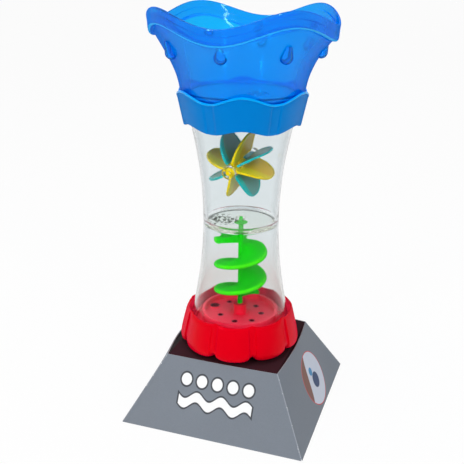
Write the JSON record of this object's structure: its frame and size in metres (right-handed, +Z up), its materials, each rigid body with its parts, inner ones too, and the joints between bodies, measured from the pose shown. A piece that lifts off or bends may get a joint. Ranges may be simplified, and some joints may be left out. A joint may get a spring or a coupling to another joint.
{
  "type": "sand wheel toy",
  "caption": "Sand and water toy: wavy funnel on a clear hourglass tube with a turning petal wheel and spiral, on a lobed drain base in a tapered card stand.",
  "frame": {"origin": "centre of the card stand's underside, on the surface it stands on", "axes": "+Z up along the tube's axis, -Y towards the front panel of the stand, the wheel's axle along Y"},
  "size_m": [0.1506, 0.1506, 0.323],
  "materials": {
    "grey_card": "printed card, satin",
    "dark_card": "printed card, matt",
    "red_plastic": "moulded, glossy",
    "clear_plastic": "moulded, clear, glossy",
    "see_through_blue": "moulded, see-through, glossy",
    "solid_blue": "moulded, satin gloss",
    "yellow_plastic": "moulded, glossy",
    "teal_plastic": "moulded, glossy",
    "green_plastic": "moulded, glossy"
  },
  "bodies": {
    "stand": {"stand_sleeve": "grey_card", "stand_tray": "dark_card"},
    "toy": {"base_skirt": "red_plastic", "base_floor": "red_plastic", "lower_tube": "clear_plastic", "upper_tube": "clear_plastic", "sieve_disc": "clear_plastic", "flow_plate": "see_through_blue", "collar": "solid_blue", "funnel": "see_through_blue"},
    "petal_wheel": {"yellow_petals": "yellow_plastic", "teal_petals": "teal_plastic", "wheel_axle": "yellow_plastic"},
    "spiral_screw": {"spiral": "green_plastic"}
  },
  "joints": [
    {"name": "toy_lift", "type": "slide", "parent": "stand", "child": "toy", "axis": [0, 0, 1], "range_m": [0, 0.06]},
    {"name": "wheel_spin", "type": "hinge", "parent": "toy", "child": "petal_wheel", "pos_m": [0, 0, 0.2058], "axis": [0, 1, 0], "continuous": true},
    {"name": "spiral_spin", "type": "hinge", "parent": "toy", "child": "spiral_screw", "pos_m": [0, 0, 0.12], "axis": [0, 0, 1], "continuous": true}
  ]
}
